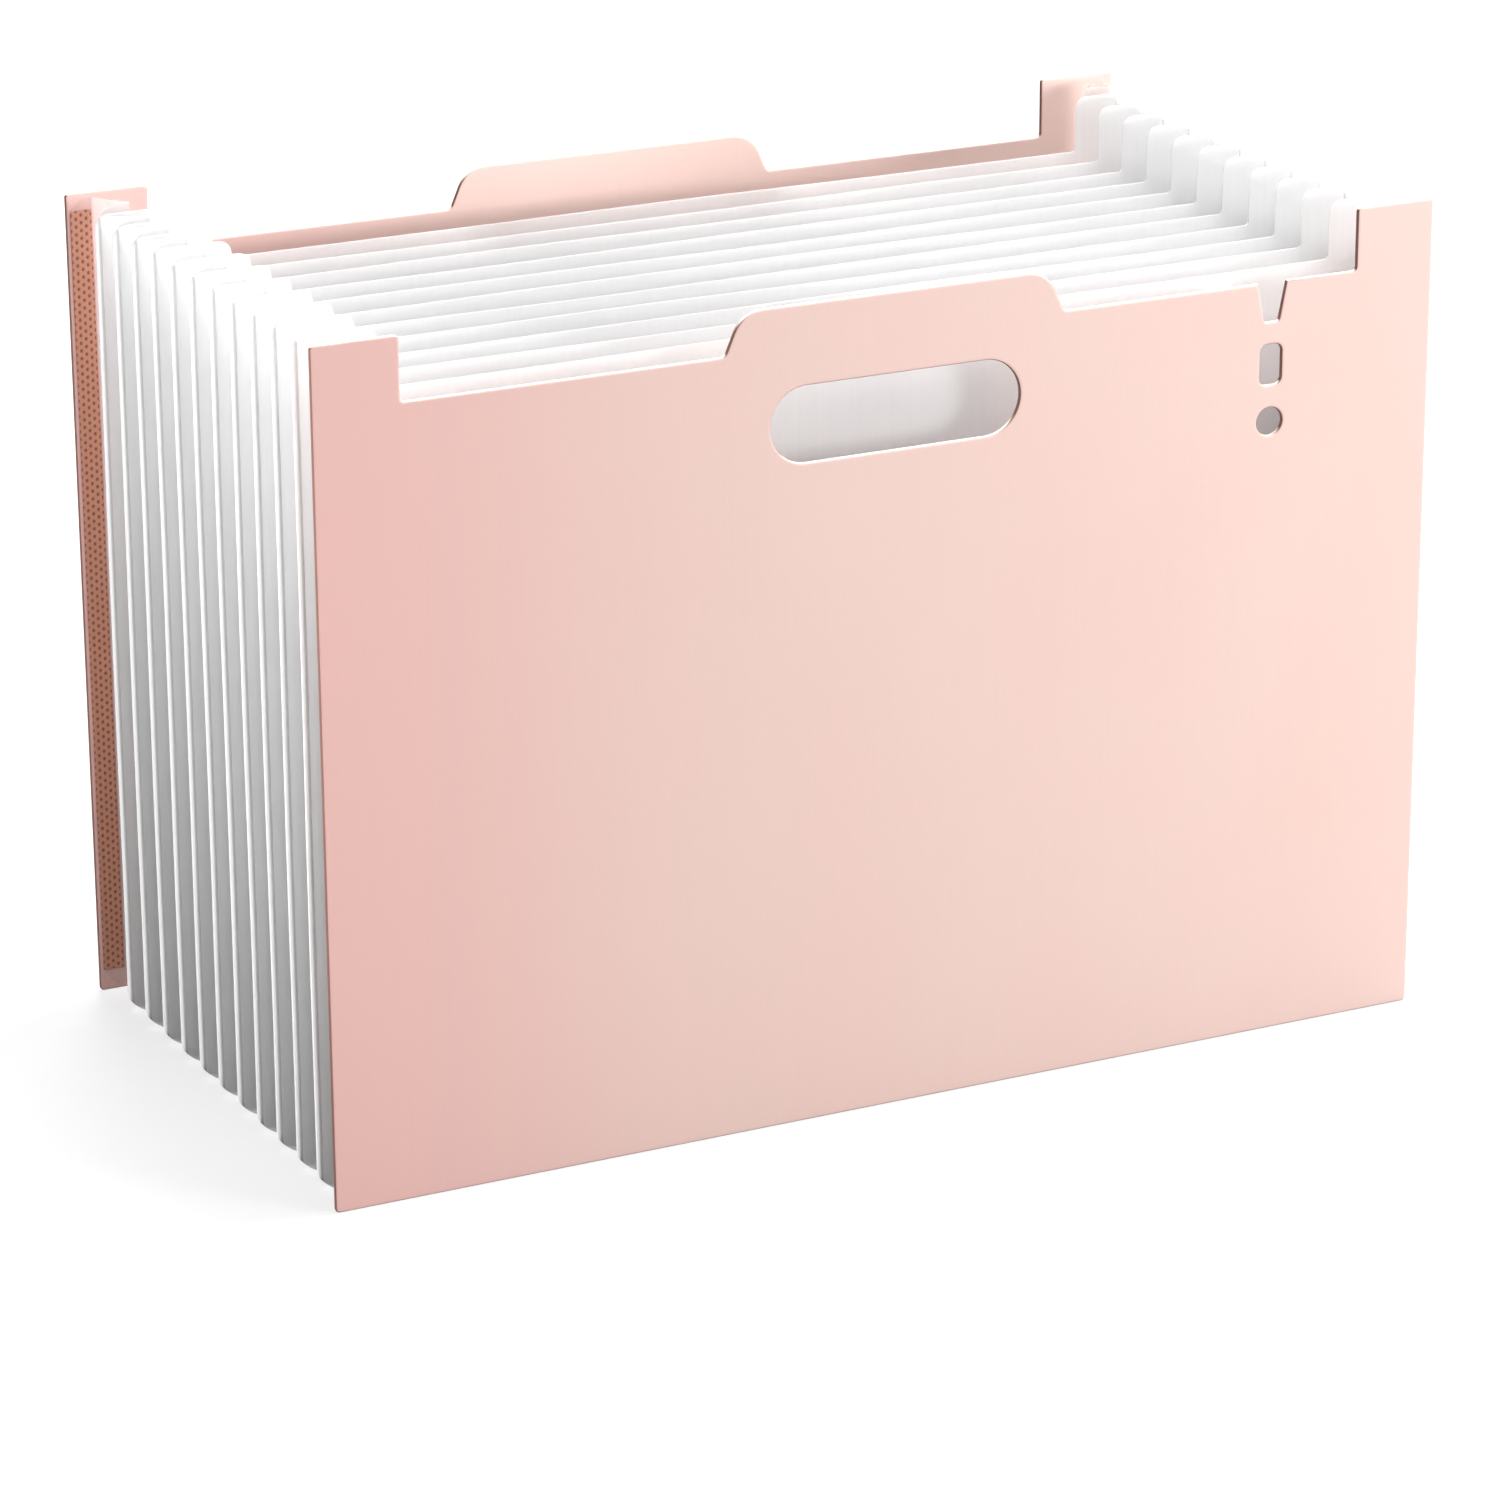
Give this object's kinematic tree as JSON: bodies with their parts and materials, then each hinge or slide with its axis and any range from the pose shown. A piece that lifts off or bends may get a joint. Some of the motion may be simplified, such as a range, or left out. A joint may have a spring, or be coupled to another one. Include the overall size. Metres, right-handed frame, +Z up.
{
  "type": "accordion file folder",
  "caption": "Free-standing expanding document file: stiff eared covers with an index tab and hand slot, film dividers and folded film sides that open pocket by pocket.",
  "frame": {"origin": "bottom centre of the folder, on the surface that it stands on, midway between the covers at rest", "axes": "+X along the covers' width to the right seen from the front, +Y from the front cover to the rear cover, +Z up"},
  "size_m": [0.33, 0.1776, 0.235],
  "materials": {
    "cover_sheet": "satin pale peach-pink polypropylene sheet",
    "divider_film": "milky translucent polypropylene film",
    "bellows_film": "milky translucent polypropylene film, creased white at folds"
  },
  "bodies": {
    "front_cover": {"front_cover": "cover_sheet"},
    "divider_01": {"divider_01": "divider_film", "left_gusset_01": "bellows_film", "right_gusset_01": "bellows_film", "pocket_floor_01": "bellows_film"},
    "divider_02": {"divider_02": "divider_film", "left_gusset_02": "bellows_film", "right_gusset_02": "bellows_film", "pocket_floor_02": "bellows_film"},
    "divider_03": {"divider_03": "divider_film", "left_gusset_03": "bellows_film", "right_gusset_03": "bellows_film", "pocket_floor_03": "bellows_film"},
    "divider_04": {"divider_04": "divider_film", "left_gusset_04": "bellows_film", "right_gusset_04": "bellows_film", "pocket_floor_04": "bellows_film"},
    "divider_05": {"divider_05": "divider_film", "left_gusset_05": "bellows_film", "right_gusset_05": "bellows_film", "pocket_floor_05": "bellows_film"},
    "divider_06": {"divider_06": "divider_film", "left_gusset_06": "bellows_film", "right_gusset_06": "bellows_film", "pocket_floor_06": "bellows_film"},
    "divider_07": {"divider_07": "divider_film", "left_gusset_07": "bellows_film", "right_gusset_07": "bellows_film", "pocket_floor_07": "bellows_film"},
    "divider_08": {"divider_08": "divider_film", "left_gusset_08": "bellows_film", "right_gusset_08": "bellows_film", "pocket_floor_08": "bellows_film"},
    "divider_09": {"divider_09": "divider_film", "left_gusset_09": "bellows_film", "right_gusset_09": "bellows_film", "pocket_floor_09": "bellows_film"},
    "divider_10": {"divider_10": "divider_film", "left_gusset_10": "bellows_film", "right_gusset_10": "bellows_film", "pocket_floor_10": "bellows_film"},
    "divider_11": {"divider_11": "divider_film", "left_gusset_11": "bellows_film", "right_gusset_11": "bellows_film", "pocket_floor_11": "bellows_film"},
    "rear_cover": {"rear_cover": "cover_sheet", "left_gusset_12": "bellows_film", "right_gusset_12": "bellows_film", "pocket_floor_12": "bellows_film"}
  },
  "joints": [
    {"name": "pocket_12_opening", "type": "slide", "parent": "rear_cover", "child": "divider_11", "axis": [0, -1, 0], "range_m": [-0.0184, 0.005], "deforming": ["left_gusset_12", "right_gusset_12", "pocket_floor_12"]},
    {"name": "pocket_11_opening", "type": "slide", "parent": "divider_11", "child": "divider_10", "axis": [0, -1, 0], "range_m": [-0.0115, 0.0119], "deforming": ["left_gusset_11", "right_gusset_11", "pocket_floor_11"]},
    {"name": "pocket_10_opening", "type": "slide", "parent": "divider_10", "child": "divider_09", "axis": [0, -1, 0], "range_m": [-0.0115, 0.0119], "deforming": ["left_gusset_10", "right_gusset_10", "pocket_floor_10"]},
    {"name": "pocket_09_opening", "type": "slide", "parent": "divider_09", "child": "divider_08", "axis": [0, -1, 0], "range_m": [-0.0115, 0.0119], "deforming": ["left_gusset_09", "right_gusset_09", "pocket_floor_09"]},
    {"name": "pocket_08_opening", "type": "slide", "parent": "divider_08", "child": "divider_07", "axis": [0, -1, 0], "range_m": [-0.0115, 0.0119], "deforming": ["left_gusset_08", "right_gusset_08", "pocket_floor_08"]},
    {"name": "pocket_07_opening", "type": "slide", "parent": "divider_07", "child": "divider_06", "axis": [0, -1, 0], "range_m": [-0.0115, 0.0119], "deforming": ["left_gusset_07", "right_gusset_07", "pocket_floor_07"]},
    {"name": "pocket_06_opening", "type": "slide", "parent": "divider_06", "child": "divider_05", "axis": [0, -1, 0], "range_m": [-0.0115, 0.0119], "deforming": ["left_gusset_06", "right_gusset_06", "pocket_floor_06"]},
    {"name": "pocket_05_opening", "type": "slide", "parent": "divider_05", "child": "divider_04", "axis": [0, -1, 0], "range_m": [-0.0115, 0.0119], "deforming": ["left_gusset_05", "right_gusset_05", "pocket_floor_05"]},
    {"name": "pocket_04_opening", "type": "slide", "parent": "divider_04", "child": "divider_03", "axis": [0, -1, 0], "range_m": [-0.0115, 0.0119], "deforming": ["left_gusset_04", "right_gusset_04", "pocket_floor_04"]},
    {"name": "pocket_03_opening", "type": "slide", "parent": "divider_03", "child": "divider_02", "axis": [0, -1, 0], "range_m": [-0.0115, 0.0119], "deforming": ["left_gusset_03", "right_gusset_03", "pocket_floor_03"]},
    {"name": "pocket_02_opening", "type": "slide", "parent": "divider_02", "child": "divider_01", "axis": [0, -1, 0], "range_m": [-0.0115, 0.0119], "deforming": ["left_gusset_02", "right_gusset_02", "pocket_floor_02"]},
    {"name": "pocket_01_opening", "type": "slide", "parent": "divider_01", "child": "front_cover", "axis": [0, -1, 0], "range_m": [-0.0115, 0.0119], "deforming": ["left_gusset_01", "right_gusset_01", "pocket_floor_01"]}
  ]
}
